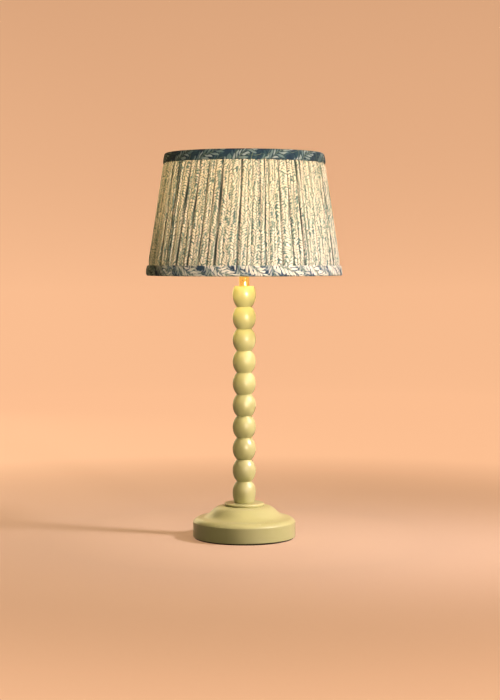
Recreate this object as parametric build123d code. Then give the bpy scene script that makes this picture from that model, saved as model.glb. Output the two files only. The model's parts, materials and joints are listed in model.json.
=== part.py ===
from build123d import *
import math
import os

# Table lamp: turned foot, column of beads on a hollow rod, brass neck, lampholder and fabric shade.
# Millimetres, +Z up. The origin is the centre of the felt pad's underside, the lamp's front faces -Y
# and the mains lead would enter at the back, +Y. Every round part shares the Z axis.

os.makedirs("parts", exist_ok=True)

# ---- Driving dimensions ----------------------------------------------------------------------

# Foot
PAD_RADIUS = 63.8
PAD_THICKNESS = 1.6
FOOT_RADIUS = 65.6
FOOT_RIM_HEIGHT = 19.2
FOOT_RIM_ROUND = 1.4
FOOT_EDGE_ROUND = 0.8
FOOT_HEIGHT = 39.6
BELL_TOP_RADIUS = 26.6
RECESS_RADIUS = 54.0
RECESS_DEPTH = 16.0
COLLAR_RADIUS = 25.2
COLLAR_HEIGHT = 3.4

# Column
BEAD_RADIUS = 14.9
SEAM_RADIUS = 9.5
BEAD_PITCH = 27.9
MIDDLE_BEADS = 8
LOWEST_BEAD_HEIGHT = 27.7
LOWEST_BEAD_EQUATOR = 14.0
TOP_BEAD_HEIGHT = 26.5
TOP_BEAD_EQUATOR = 15.2
END_BEAD_FLAT_RADIUS = 12.4
END_BEAD_ROUND = 1.0
ROD_RADIUS = 5.0
ROD_BORE_RADIUS = 4.0
ROD_CLEARANCE = 0.25
NECK_RADIUS = 6.7
NECK_LENGTH = 27.5

# Lampholder for a screw cap of 27 mm
CAP_HEIGHT = 20.5
BARREL_RADIUS = 19.3
BARREL_HEIGHT = 26.0
BARREL_WALL = 0.9
SHELL_BORE_RADIUS = 13.4
SHELL_HEIGHT = 22.0
THREAD_PITCH = 3.629
CLAMP_RING_RADIUS = 28.0
CLAMP_RING_HEIGHT = 6.0

# Shade
SHADE_BOTTOM_Z = 335.4
SHADE_HEIGHT = 154.6
SHADE_BOTTOM_RADIUS = 125.0
SHADE_TOP_RADIUS = 101.0
BINDING_HEIGHT = 13.0
BINDING_INSIDE_HEIGHT = 9.0
BINDING_THICKNESS = 1.2
COVER_THICKNESS = 1.6
LINING_THICKNESS = 0.6
RING_WIRE_RADIUS = 1.75
STRUT_RADIUS = 1.25
STRUTS = 6
FIRST_STRUT_ANGLE = -80.0
ARM_RADIUS = 1.4
ARMS = 3

# Bulb
BULB_RADIUS = 30.0
BULB_LENGTH = 104.0
BULB_WALL = 0.9
BULB_CAP_HEIGHT = 27.0
BULB_CAP_RADIUS = 13.15

# ---- Levels worked out from them -------------------------------------------------------------

foot_z = PAD_THICKNESS
collar_z = foot_z + FOOT_HEIGHT
column_z = collar_z + COLLAR_HEIGHT
column_top_z = column_z + LOWEST_BEAD_HEIGHT + MIDDLE_BEADS * BEAD_PITCH + TOP_BEAD_HEIGHT
recess_top_z = foot_z + RECESS_DEPTH
holder_z = column_top_z + NECK_LENGTH
barrel_z = holder_z + CAP_HEIGHT
barrel_top_z = barrel_z + BARREL_HEIGHT
shade_top_z = SHADE_BOTTOM_Z + SHADE_HEIGHT
bulb_tip_z = holder_z + 15.0
switch_z = holder_z + 9.5
seat_top_z = barrel_z + 0.4 + CLAMP_RING_HEIGHT
fitter_z = seat_top_z + 0.05
fitter_thickness = 1.4
shade_ring_z = fitter_z + fitter_thickness + 0.05


SCREW_SLOT_WIDTH = 0.8
PRESS_GAP = 0.02

# ---- Helpers ---------------------------------------------------------------------------------


def save(name, shape):
    """Write one sub-part's STEP file. The file's name is the part's name."""
    shape.label = name
    export_step(shape, f"parts/{name}.step")


def turned(*edges):
    """Solid of revolution about Z from the closed outline that these edges make in the XZ plane."""
    face = Plane.XZ * make_face(Curve() + list(edges))
    return revolve(face, Axis.Z)


def turned_outline(points):
    """Solid of revolution about Z from a polygon of (radius, height) points."""
    return turned(Polyline(*points, close=True))


def tube(outer, inner, bottom, top):
    """Straight tube about Z."""
    return turned_outline([(inner, bottom), (outer, bottom), (outer, top), (inner, top)])


def rod(start, end, radius):
    """Round rod between two points."""
    path = Vector(*end) - Vector(*start)
    return Plane(origin=start, z_dir=path) * Cylinder(
        radius, path.length, align=(Align.CENTER, Align.CENTER, Align.MIN)
    )


def around(radius, angle_deg, height):
    """Point at this radius and angle about Z, counted from +X."""
    angle = math.radians(angle_deg)
    return (radius * math.cos(angle), radius * math.sin(angle), height)


def pan_screw(head_radius, head_height, shank_radius, length):
    """Slotted screw that points up: its head's underside is at z 0 and its shank goes up from there."""
    head = Pos(0, 0, -head_height) * Cylinder(
        head_radius, head_height, align=(Align.CENTER, Align.CENTER, Align.MIN)
    )
    head = fillet(head.edges().sort_by(Axis.Z)[0], head_height * 0.45)
    slot = Pos(0, 0, -head_height) * Box(2.4 * head_radius, SCREW_SLOT_WIDTH, head_height * 0.8)
    shank = Cylinder(shank_radius, length, align=(Align.CENTER, Align.CENTER, Align.MIN))
    return head - slot + shank


# ---- Foot ------------------------------------------------------------------------------------

BUSH_Z = foot_z + 7.4
BUSH_HOLE_RADIUS = 4.6
CABLE_BORE_RADIUS = 3.5
WEIGHT_RADIUS = 51.0
WEIGHT_BORE_RADIUS = 26.5
WEIGHT_THICKNESS = 12.0
WEIGHT_SCREW_CIRCLE = 37.0
WEIGHT_COUNTERBORE = 4.2
WEIGHT_HEAD_RADIUS = 4.0
LEAD_SLOT_WIDTH = 13.0
CLAMP_Y = 18.8
CLAMP_THICKNESS = 4.0
CLAMP_SCREW_X = 8.0
BUSH_FLANGE = 1.4
SCREW_SHANK_RADIUS = 1.5
PILOT_HOLE_RADIUS = 1.55
PILOT_HOLE_DEPTH = 7.0


def make_foot():
    """Wooden foot: bell above a low rim, with the recess, rod bore, cable hole and pilot holes."""
    bell = Spline(
        (BELL_TOP_RADIUS, FOOT_HEIGHT),
        (36.5, 36.7),
        (45.5, 29.2),
        (51.5, 25.8),
        (58.0, 24.4),
        (FOOT_RADIUS, FOOT_RIM_HEIGHT),
        tangents=((1, -0.12), (1, -1.4)),
    )
    outline = [
        Line((0, 0), (0, FOOT_HEIGHT)),
        Line((0, FOOT_HEIGHT), (BELL_TOP_RADIUS, FOOT_HEIGHT)),
        bell,
        Line((FOOT_RADIUS, FOOT_RIM_HEIGHT), (FOOT_RADIUS, 0)),
        Line((FOOT_RADIUS, 0), (0, 0)),
    ]
    foot = Pos(0, 0, foot_z) * turned(*outline)
    rim_edges = foot.edges().filter_by(GeomType.CIRCLE).group_by(SortBy.RADIUS)[-1].sort_by(Axis.Z)
    foot = fillet(rim_edges[-1], FOOT_RIM_ROUND)
    rim_edges = foot.edges().filter_by(GeomType.CIRCLE).group_by(SortBy.RADIUS)[-1].sort_by(Axis.Z)
    foot = fillet(rim_edges[0], FOOT_EDGE_ROUND)
    foot -= tube(RECESS_RADIUS, 0, foot_z - 1, recess_top_z)
    foot -= tube(ROD_RADIUS + ROD_CLEARANCE, 0, 0, collar_z + 1)
    foot -= rod((0, RECESS_RADIUS - 4, BUSH_Z), (0, FOOT_RADIUS + 4, BUSH_Z), BUSH_HOLE_RADIUS)
    for x, y in [*weight_screw_places(), *clamp_screw_places()]:
        foot -= rod((x, y, recess_top_z - 1), (x, y, recess_top_z + PILOT_HOLE_DEPTH), PILOT_HOLE_RADIUS)
    return foot


def weight_screw_places():
    """Three screws on a circle, clear of the weight's cable slot at the back."""
    return [around(WEIGHT_SCREW_CIRCLE, angle, 0)[:2] for angle in (-150, -90, -30)]


def clamp_screw_places():
    """Two screws, one each side of the lead."""
    return [(-CLAMP_SCREW_X, CLAMP_Y), (CLAMP_SCREW_X, CLAMP_Y)]


def make_foot_weight():
    """Iron ring with a slot for the lead and three counterbored screw holes."""
    bottom = recess_top_z - WEIGHT_THICKNESS
    weight = tube(WEIGHT_RADIUS, WEIGHT_BORE_RADIUS, bottom, recess_top_z)
    slot = Box(LEAD_SLOT_WIDTH, WEIGHT_RADIUS + 10, WEIGHT_THICKNESS + 2)
    weight -= Pos(0, WEIGHT_RADIUS / 2 + 5, bottom + WEIGHT_THICKNESS / 2) * slot
    for x, y in weight_screw_places():
        weight -= rod((x, y, bottom - 1), (x, y, recess_top_z + 1), 2.2)
        weight -= rod((x, y, bottom - 1), (x, y, bottom + WEIGHT_COUNTERBORE), WEIGHT_HEAD_RADIUS + 0.6)
    return weight


def make_weight_screws():
    """Three wood screws that hold the weight to the recess's ceiling."""
    head_z = recess_top_z - WEIGHT_THICKNESS + WEIGHT_COUNTERBORE
    length = recess_top_z + PILOT_HOLE_DEPTH - 1 - head_z
    screws = [
        Pos(x, y, head_z) * pan_screw(WEIGHT_HEAD_RADIUS, 2.6, SCREW_SHANK_RADIUS, length)
        for x, y in weight_screw_places()
    ]
    return Compound(children=screws)


def make_felt_pad():
    """Round felt under the foot, with a slightly eased lower edge."""
    pad = tube(PAD_RADIUS, 0, 0, PAD_THICKNESS)
    return fillet(pad.edges().sort_by(Axis.Z)[0], 0.4)


def make_cable_bush():
    """Rubber grommet through the foot's rear wall: a sleeve with a flange inside and outside."""
    inside_y = math.sqrt(RECESS_RADIUS**2 - 8.0**2) - 1.6
    outside_y = FOOT_RADIUS + BUSH_FLANGE
    start = (0, inside_y, BUSH_Z)
    sleeve = rod(start, (0, outside_y, BUSH_Z), BUSH_HOLE_RADIUS - 0.02)
    outer_flange = rod((0, FOOT_RADIUS, BUSH_Z), (0, outside_y, BUSH_Z), 6.0)
    outer_flange = fillet(outer_flange.edges().sort_by(Axis.Y)[-1], 0.9)
    inner_flange = rod(start, (0, inside_y + 1.5, BUSH_Z), 5.6)
    bore = rod((0, inside_y - 1, BUSH_Z), (0, outside_y + 1, BUSH_Z), CABLE_BORE_RADIUS)
    return sleeve + outer_flange + inner_flange - bore


def make_cable_clamp():
    """Plastic bridge with a saddle for the lead and two screw ears, up against the recess's ceiling."""
    bridge = Pos(0, CLAMP_Y, recess_top_z - CLAMP_THICKNESS / 2) * Box(22, 8, CLAMP_THICKNESS)
    bridge = fillet(bridge.edges().filter_by(Axis.Z), 1.5)
    bridge -= rod((0, CLAMP_Y - 6, recess_top_z), (0, CLAMP_Y + 6, recess_top_z), 3.0)
    for x, y in clamp_screw_places():
        bridge -= rod((x, y, recess_top_z - 6), (x, y, recess_top_z + 1), 1.8)
    return bridge


def make_clamp_screws():
    """The two screws of the cable clamp."""
    screws = [
        Pos(x, y, recess_top_z - CLAMP_THICKNESS) * pan_screw(2.9, 1.9, SCREW_SHANK_RADIUS, 9.5)
        for x, y in clamp_screw_places()
    ]
    return Compound(children=screws)


# ---- Column ----------------------------------------------------------------------------------


def make_stem_collar():
    """Thin disc with rounded edges between the foot and the first bead."""
    collar = tube(COLLAR_RADIUS, ROD_RADIUS + ROD_CLEARANCE, collar_z, column_z)
    outer = collar.edges().filter_by(GeomType.CIRCLE).group_by(SortBy.RADIUS)[-1]
    return fillet(outer, 1.3)


def make_bead(bottom, height, low_radius, high_radius, equator):
    """Bead from this level up: an arc on each side of its equator, bored for the rod."""
    top = bottom + height
    middle = (BEAD_RADIUS, bottom + equator)
    bore = ROD_RADIUS + ROD_CLEARANCE
    lower = TangentArc(middle, (low_radius, bottom), tangent=(0, -1))
    upper = TangentArc(middle, (high_radius, top), tangent=(0, 1))
    outline = [
        lower,
        upper,
        Line((high_radius, top), (bore, top)),
        Line((bore, top), (bore, bottom)),
        Line((bore, bottom), (low_radius, bottom)),
    ]
    bead = turned(*outline)
    ends = bead.edges().filter_by(GeomType.CIRCLE).filter_by(
        lambda edge: abs(edge.radius - END_BEAD_FLAT_RADIUS) < 0.01
    )
    return fillet(ends, END_BEAD_ROUND) if ends else bead


def make_beads():
    """All ten beads, from the collar up. The end beads are flat where they meet collar and neck."""
    flat = END_BEAD_FLAT_RADIUS
    beads = [make_bead(column_z, LOWEST_BEAD_HEIGHT, flat, SEAM_RADIUS, LOWEST_BEAD_EQUATOR)]
    for k in range(MIDDLE_BEADS):
        bottom = column_z + LOWEST_BEAD_HEIGHT + k * BEAD_PITCH
        beads.append(make_bead(bottom, BEAD_PITCH, SEAM_RADIUS, SEAM_RADIUS, BEAD_PITCH / 2))
    bottom = column_top_z - TOP_BEAD_HEIGHT
    beads.append(make_bead(bottom, TOP_BEAD_HEIGHT, SEAM_RADIUS, flat, TOP_BEAD_EQUATOR))
    return beads


NUT_HEIGHT = 5.0
WASHER_THICKNESS = 2.0
LOCK_WASHER_THICKNESS = 1.0
LOCK_WASHER_RADIUS = 8.6
NUT_ACROSS_FLATS = 17.0
rod_bottom_z = recess_top_z - WASHER_THICKNESS - LOCK_WASHER_THICKNESS - NUT_HEIGHT - 2.0
rod_top_z = holder_z + 6.5


def make_threaded_tube():
    """Hollow rod with chamfered ends."""
    pipe = tube(ROD_RADIUS, ROD_BORE_RADIUS, rod_bottom_z, rod_top_z)
    ends = pipe.edges().filter_by(GeomType.CIRCLE).group_by(SortBy.RADIUS)[-1]
    return chamfer(ends, 0.5)


def make_bottom_washer():
    return tube(14.0, ROD_RADIUS + ROD_CLEARANCE, recess_top_z - WASHER_THICKNESS, recess_top_z)


def make_lock_washer():
    """Toothed lock washer: a thin ring with twelve notches round its edge."""
    top = recess_top_z - WASHER_THICKNESS
    washer = tube(LOCK_WASHER_RADIUS, ROD_RADIUS + ROD_CLEARANCE, top - LOCK_WASHER_THICKNESS, top)
    notch = Pos(LOCK_WASHER_RADIUS, 0, top) * Box(2.4, 1.1, 3)
    for k in range(12):
        washer -= Rot(0, 0, 30 * k) * notch
    return washer


def make_bottom_nut():
    """Thin hexagon nut, 17 mm across flats."""
    top = recess_top_z - WASHER_THICKNESS - LOCK_WASHER_THICKNESS
    hexagon = RegularPolygon(NUT_ACROSS_FLATS / math.sqrt(3), 6)
    nut = Pos(0, 0, top - NUT_HEIGHT) * extrude(hexagon, NUT_HEIGHT)
    return nut - tube(ROD_RADIUS + PRESS_GAP, 0, top - NUT_HEIGHT - 1, top + 1)


def make_neck_tube():
    neck = tube(NECK_RADIUS, ROD_RADIUS + ROD_CLEARANCE, column_top_z, holder_z)
    edges = neck.edges().filter_by(GeomType.CIRCLE).group_by(SortBy.RADIUS)[-1]
    return fillet(edges, 0.4)


# ---- Lampholder ------------------------------------------------------------------------------

CAP_WALL = 1.0
CAP_RADIUS = 20.4
BOSS_RADIUS = 9.5
BOSS_INNER_RADIUS = 8.9
BOSS_HEIGHT = 5.0
BARREL_LIP_RADIUS = 15.2
BARREL_GROOVES = 9
BARREL_GROOVE_PITCH = 2.4
BARREL_GROOVE_DEPTH = 0.35
TERMINAL_X = 11.0
TERMINAL_Y = -9.0
BAR_CLEARANCE = 0.06
INSULATOR_RADIUS = 18.2
INSULATOR_Z = holder_z + 6.8
insulator_floor_z = bulb_tip_z - 1.2
shell_z = insulator_floor_z + 2.0
SWITCH_BAR_RADIUS = 2.2
SWITCH_BAR_HALF_LENGTH = 25.5
SWITCH_TRAVEL = 4.0
CLAMP_HUB_RADIUS = 22.5
CLAMP_FLANGE = 2.2
CLAMP_GROOVES = 36


def make_lampholder_cap():
    """Brass cup: a boss on the rod, a domed shoulder and a straight skirt with two switch holes."""
    shoulder_z = switch_z
    inner = CAP_RADIUS - CAP_WALL
    bore = ROD_RADIUS + PRESS_GAP
    boss_top_z = holder_z + BOSS_HEIGHT
    dome_low_z = holder_z + 1.5
    dome_inside_z = holder_z + 3.0
    cap = turned(
        Line((BOSS_RADIUS, holder_z), (BOSS_RADIUS, dome_low_z)),
        TangentArc((CAP_RADIUS, shoulder_z), (BOSS_RADIUS, dome_low_z), tangent=(0, -1)),
        Line((CAP_RADIUS, shoulder_z), (CAP_RADIUS, barrel_z)),
        Line((CAP_RADIUS, barrel_z), (inner, barrel_z)),
        Line((inner, barrel_z), (inner, shoulder_z)),
        TangentArc((inner, shoulder_z), (BOSS_INNER_RADIUS, dome_inside_z), tangent=(0, -1)),
        Line((BOSS_INNER_RADIUS, dome_inside_z), (BOSS_INNER_RADIUS, boss_top_z)),
        Line((BOSS_INNER_RADIUS, boss_top_z), (bore, boss_top_z)),
        Line((bore, boss_top_z), (bore, holder_z)),
        Line((bore, holder_z), (BOSS_RADIUS, holder_z)),
    )
    reach = CAP_RADIUS + 5
    cap -= rod((-reach, 0, switch_z), (reach, 0, switch_z), SWITCH_BAR_RADIUS + BAR_CLEARANCE)
    return cap


def make_lampholder_barrel():
    """Brass barrel with a coarse outside thread, shown as grooves, and an inward lip at its mouth."""
    inner = BARREL_RADIUS - BARREL_WALL
    barrel = tube(BARREL_RADIUS, inner, barrel_z, barrel_top_z)
    barrel += tube(BARREL_RADIUS, BARREL_LIP_RADIUS, barrel_top_z - 1.0, barrel_top_z)
    mouth = barrel.edges().filter_by(GeomType.CIRCLE).group_by(Axis.Z)[-1].sort_by(SortBy.RADIUS)
    barrel = fillet(mouth[-1], 0.7)
    for k in range(BARREL_GROOVES):
        z = barrel_z + 2.2 + BARREL_GROOVE_PITCH * k
        barrel -= tube(BARREL_RADIUS + 1, BARREL_RADIUS - BARREL_GROOVE_DEPTH, z, z + 1.0)
    return barrel


def make_lampholder_insulator():
    """Moulded insert: a thick floor with the switch channel, and a wall round the screw shell."""
    top = shell_z + SHELL_HEIGHT - 0.5
    insert = tube(INSULATOR_RADIUS, 0, INSULATOR_Z, top)
    insert -= tube(SHELL_BORE_RADIUS + 0.5, 0, insulator_floor_z, top + 1)
    reach = INSULATOR_RADIUS + 5
    insert -= rod((-reach, 0, switch_z), (reach, 0, switch_z), SWITCH_BAR_RADIUS + BAR_CLEARANCE)
    for x in (-TERMINAL_X, TERMINAL_X):
        insert -= rod((x, TERMINAL_Y, INSULATOR_Z - 1), (x, TERMINAL_Y, INSULATOR_Z + 4.2), 1.25)
    return insert


def make_screw_shell():
    """Sheet-metal thread for the bulb's cap, with an inward foot that stands on the insert's floor."""
    top = shell_z + SHELL_HEIGHT
    outer = SHELL_BORE_RADIUS + 0.45
    shell = tube(outer, SHELL_BORE_RADIUS, insulator_floor_z, top)
    shell += tube(outer, 11.0, insulator_floor_z, insulator_floor_z + 0.5)
    return shell


def make_centre_contact():
    """Brass leaf on the insert's floor with a raised pad under the bulb's tip."""
    leaf = Pos(0, 0, insulator_floor_z + 0.25) * Box(6, 17, 0.5)
    pad = tube(3.0, 0, insulator_floor_z + 0.5, bulb_tip_z - 0.1)
    return leaf + pad


def make_side_contact():
    """Brass tongue beside the centre contact, under the edge of the bulb's cap."""
    return Pos(8.2, 0, insulator_floor_z + 1.0) * Box(1.6, 5, 0.8) + (
        Pos(8.2, 0, insulator_floor_z + 0.3) * Box(3.2, 5, 0.6)
    )


def make_terminal_screws():
    """Two screws in the insert's underside that grip the two cores of the lead."""
    screws = [
        Pos(x, TERMINAL_Y, INSULATOR_Z - PRESS_GAP) * pan_screw(2.2, 1.5, 1.2, 4.0)
        for x in (-TERMINAL_X, TERMINAL_X)
    ]
    return Compound(children=screws)


def make_switch_bar():
    """Push-through bar with a rounded plastic button at each end, pushed to the -X side at rest."""
    shift = -SWITCH_TRAVEL / 2
    half = SWITCH_BAR_HALF_LENGTH
    bar = rod((-half + shift, 0, switch_z), (half + shift, 0, switch_z), SWITCH_BAR_RADIUS)
    return fillet(bar.edges().filter_by(GeomType.CIRCLE), 1.4)


def make_clamp_ring(bottom):
    """Brass ring for the barrel's thread: a hub, a flange towards its mate and a grooved edge."""
    top = bottom + CLAMP_RING_HEIGHT
    bore = BARREL_RADIUS + 0.06
    ring = tube(CLAMP_HUB_RADIUS, bore, bottom, top)
    ring += tube(CLAMP_RING_RADIUS, bore, bottom, bottom + CLAMP_FLANGE)
    groove = Pos(CLAMP_RING_RADIUS + 0.35, 0, bottom + CLAMP_FLANGE / 2) * Box(1.4, 1.2, 3)
    for k in range(CLAMP_GROOVES):
        ring -= Rot(0, 0, 360 * k / CLAMP_GROOVES) * groove
    return ring


def make_seat_ring():
    """The lower ring, flange up, that the shade's fitter rests on."""
    return Pos(0, 0, seat_top_z) * (Rot(180, 0, 0) * make_clamp_ring(0))


def make_shade_ring():
    """The upper ring, flange down, that holds the fitter on its seat."""
    return make_clamp_ring(shade_ring_z)


# ---- Shade -----------------------------------------------------------------------------------

SLOPE = (SHADE_BOTTOM_RADIUS - SHADE_TOP_RADIUS) / SHADE_HEIGHT
COVER_OUT = BINDING_THICKNESS
COVER_IN = COVER_OUT + COVER_THICKNESS
WIRE_DEPTH = COVER_IN + 0.05 + RING_WIRE_RADIUS
LINING_OUT = WIRE_DEPTH + RING_WIRE_RADIUS + 0.05
LINING_IN = LINING_OUT + LINING_THICKNESS
BINDING_IN = LINING_IN + BINDING_THICKNESS
bottom_wire_z = SHADE_BOTTOM_Z + BINDING_THICKNESS + RING_WIRE_RADIUS + 0.1
top_wire_z = shade_top_z - BINDING_THICKNESS - RING_WIRE_RADIUS - 0.1
FITTER_BORE_RADIUS = 19.9
FITTER_RIM_RADIUS = 30.5
FITTER_RIM_WIRE = 1.5
SLIT_RADIUS = ARM_RADIUS + 0.3
fitter_mid_z = fitter_z + fitter_thickness / 2


def wall(depth, height):
    """Point of the shade's section: this far in from the outside of the cone, at this height."""
    return (SHADE_BOTTOM_RADIUS - SLOPE * (height - SHADE_BOTTOM_Z) - depth, height)


def cone_shell(depth_out, depth_in, bottom, top):
    """Thin cone between two depths."""
    outline = [
        wall(depth_out, bottom),
        wall(depth_out, top),
        wall(depth_in, top),
        wall(depth_in, bottom),
    ]
    return turned_outline(outline)


def make_shade_cover():
    bottom = SHADE_BOTTOM_Z + BINDING_THICKNESS
    return cone_shell(COVER_OUT, COVER_IN, bottom, shade_top_z - BINDING_THICKNESS)


def make_shade_lining():
    """Cloth inside the frame, slit where the three arms pass."""
    bottom = SHADE_BOTTOM_Z + BINDING_THICKNESS
    lining = cone_shell(LINING_OUT, LINING_IN, bottom, shade_top_z - BINDING_THICKNESS)
    for k in range(ARMS):
        lining -= arm_rod(k, SLIT_RADIUS)
    return lining


def make_binding(edge, into):
    """Folded strip over the shade's edge. into is +1 at the bottom edge and -1 at the top edge."""
    fold = edge + into * BINDING_THICKNESS
    outline = [
        wall(0, edge),
        wall(0, edge + into * BINDING_HEIGHT),
        wall(BINDING_THICKNESS, edge + into * BINDING_HEIGHT),
        wall(BINDING_THICKNESS, fold),
        wall(LINING_IN, fold),
        wall(LINING_IN, edge + into * BINDING_INSIDE_HEIGHT),
        wall(BINDING_IN, edge + into * BINDING_INSIDE_HEIGHT),
        wall(BINDING_IN, edge),
    ]
    binding = turned_outline(outline)
    on_edge = binding.edges().filter_by(GeomType.CIRCLE).group_by(Axis.Z)[0 if into > 0 else -1]
    return fillet(on_edge, 0.9)


def make_bottom_binding():
    binding = make_binding(SHADE_BOTTOM_Z, 1)
    for k in range(ARMS):
        binding -= arm_rod(k, SLIT_RADIUS)
    return binding


def make_top_binding():
    return make_binding(shade_top_z, -1)


def make_ring_wire(height):
    """Ring of round wire on the shade's frame."""
    radius = wall(WIRE_DEPTH, height)[0]
    return Pos(0, 0, height) * Torus(radius, RING_WIRE_RADIUS)


def arm_angle(k):
    """Angle of an arm, midway between two struts."""
    return FIRST_STRUT_ANGLE + 180 / STRUTS + 360 * k / ARMS


def arm_rod(k, radius):
    """Straight rod from the bottom wire up to the fitter's rim."""
    start = around(wall(WIRE_DEPTH, bottom_wire_z)[0], arm_angle(k), bottom_wire_z)
    end = around(FITTER_RIM_RADIUS, arm_angle(k), fitter_mid_z)
    return rod(start, end, radius)


def make_fitter_arm(k):
    """Arm of the fitter, ending on the bottom wire and on the fitter's rim."""
    arm = arm_rod(k, ARM_RADIUS)
    arm -= make_ring_wire(bottom_wire_z)
    arm -= Pos(0, 0, fitter_mid_z) * Torus(FITTER_RIM_RADIUS, FITTER_RIM_WIRE)
    return arm.solids().sort_by(SortBy.VOLUME)[-1]


def make_fitter_ring():
    """Flat ring round the barrel with a wire rim that the arms are welded to."""
    plate = tube(FITTER_RIM_RADIUS, FITTER_BORE_RADIUS, fitter_z, fitter_z + fitter_thickness)
    return plate + Pos(0, 0, fitter_mid_z) * Torus(FITTER_RIM_RADIUS, FITTER_RIM_WIRE)


def make_strut(k):
    """Straight wire of the frame from ring to ring."""
    angle = FIRST_STRUT_ANGLE + 360 * k / STRUTS
    start = around(wall(WIRE_DEPTH, bottom_wire_z)[0], angle, bottom_wire_z)
    end = around(wall(WIRE_DEPTH, top_wire_z)[0], angle, top_wire_z)
    strut = rod(start, end, STRUT_RADIUS)
    strut -= make_ring_wire(bottom_wire_z)
    strut -= make_ring_wire(top_wire_z)
    return strut.solids().sort_by(SortBy.VOLUME)[-1]


# ---- Bulb ------------------------------------------------------------------------------------

GLASS_NECK_RADIUS = 11.6
GLASS_FOOT_Z = bulb_tip_z + 21.0
CAP_TOP_Z = bulb_tip_z + BULB_CAP_HEIGHT
CAP_LOW_Z = bulb_tip_z + 5.0
GLOBE_Z = bulb_tip_z + BULB_LENGTH - BULB_RADIUS
STEM_TOP_Z = bulb_tip_z + 56.0
FILAMENTS = 4
FILAMENT_LENGTH = 36.0


def bulb_side(inset):
    """Right side of the bulb's glass, from its neck's foot to its top, this far inside the outside."""
    neck = GLASS_NECK_RADIUS - inset
    globe = BULB_RADIUS - inset
    flare = Spline(
        (neck, CAP_TOP_Z),
        (neck + 5.6, CAP_TOP_Z + 13),
        (globe, GLOBE_Z),
        tangents=((0.1, 1), (0, 1)),
    )
    crown = TangentArc((globe, GLOBE_Z), (0, GLOBE_Z + globe), tangent=(0, 1))
    return [Line((neck, GLASS_FOOT_Z), (neck, CAP_TOP_Z)), flare, crown]


def make_bulb_glass():
    """Glass envelope, closed at its foot by the stem's flare."""
    outside = turned(
        *bulb_side(0),
        Line((0, GLOBE_Z + BULB_RADIUS), (0, GLASS_FOOT_Z)),
        Line((0, GLASS_FOOT_Z), (GLASS_NECK_RADIUS, GLASS_FOOT_Z)),
    )
    inner_top = GLOBE_Z + BULB_RADIUS - BULB_WALL
    inside = turned(
        *bulb_side(BULB_WALL),
        Line((0, inner_top), (0, GLASS_FOOT_Z)),
        Line((0, GLASS_FOOT_Z), (GLASS_NECK_RADIUS - BULB_WALL, GLASS_FOOT_Z)),
    )
    return outside - inside


def make_bulb_stem():
    """Glass stem: a flare that closes the envelope's foot, and a slim post."""
    flare_radius = GLASS_NECK_RADIUS - BULB_WALL - 0.05
    outline = [
        (0, GLASS_FOOT_Z),
        (flare_radius, GLASS_FOOT_Z),
        (flare_radius, GLASS_FOOT_Z + 1.2),
        (3.6, GLASS_FOOT_Z + 7),
        (2.6, GLASS_FOOT_Z + 14),
        (1.6, GLASS_FOOT_Z + 17),
        (1.6, STEM_TOP_Z),
        (0, STEM_TOP_Z),
    ]
    return turned_outline(outline)


def make_led_filaments():
    """Four slim filaments that lean out from the stem, each with its two lead wires."""
    pieces = []
    for k in range(FILAMENTS):
        angle = 45 + 360 * k / FILAMENTS
        low = around(9.0, angle, STEM_TOP_Z - 10)
        high = around(5.0, angle, STEM_TOP_Z - 10 + FILAMENT_LENGTH)
        body = rod(low, high, 0.9)
        feed = rod(around(2.0, angle, STEM_TOP_Z - 14), low, 0.3)
        pieces.append(body + feed)
    return Compound(children=pieces)


def make_bulb_cap():
    """Screw cap: rounded ridges at the thread's pitch on a thin shell."""
    root = BULB_CAP_RADIUS - 1.0
    inner = root - 0.35
    turns = 5
    first = CAP_LOW_Z + 1.4
    points = [(root, CAP_LOW_Z)]
    steps = 8
    for k in range(turns * steps + 1):
        z = first + THREAD_PITCH * k / steps
        r = root + 0.5 * (1 - math.cos(2 * math.pi * k / steps))
        points.append((r, z))
    edge_z = first + turns * THREAD_PITCH
    outline = [
        Line((inner, CAP_LOW_Z), points[0]),
        Line(points[0], points[1]),
        Spline(*points[1:]),
        Line((root, edge_z), (root, CAP_TOP_Z)),
        Line((root, CAP_TOP_Z), (inner, CAP_TOP_Z)),
        Line((inner, CAP_TOP_Z), (inner, CAP_LOW_Z)),
    ]
    return turned(*outline)


def make_cap_insulator():
    """Black glass cone between the cap's shell and the tip."""
    root = BULB_CAP_RADIUS - 1.0 - 0.35
    outline = [
        (0, bulb_tip_z + 1.7),
        (5.0, bulb_tip_z + 1.7),
        (root, CAP_LOW_Z),
        (root - 0.1, CAP_LOW_Z + 1.5),
        (0, CAP_LOW_Z + 1.5),
    ]
    return turned_outline(outline)


def make_bulb_tip():
    """Solder contact at the bottom of the bulb."""
    tip = tube(4.6, 0, bulb_tip_z, bulb_tip_z + 1.65)
    return fillet(tip.edges().sort_by(Axis.Z)[0], 1.2)


# ---- Write every sub-part --------------------------------------------------------------------

save("foot", make_foot())
save("foot_weight", make_foot_weight())
save("weight_screws", make_weight_screws())
save("felt_pad", make_felt_pad())
save("cable_bush", make_cable_bush())
save("cable_clamp", make_cable_clamp())
save("clamp_screws", make_clamp_screws())
save("stem_collar", make_stem_collar())
for number, bead in enumerate(make_beads(), start=1):
    save(f"bead_{number:02d}", bead)
save("threaded_tube", make_threaded_tube())
save("bottom_washer", make_bottom_washer())
save("lock_washer", make_lock_washer())
save("bottom_nut", make_bottom_nut())
save("neck_tube", make_neck_tube())

save("lampholder_cap", make_lampholder_cap())
save("lampholder_barrel", make_lampholder_barrel())
save("lampholder_insulator", make_lampholder_insulator())
save("screw_shell", make_screw_shell())
save("centre_contact", make_centre_contact())
save("side_contact", make_side_contact())
save("terminal_screws", make_terminal_screws())
save("switch_bar", make_switch_bar())
save("seat_ring", make_seat_ring())
save("shade_ring", make_shade_ring())

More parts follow.
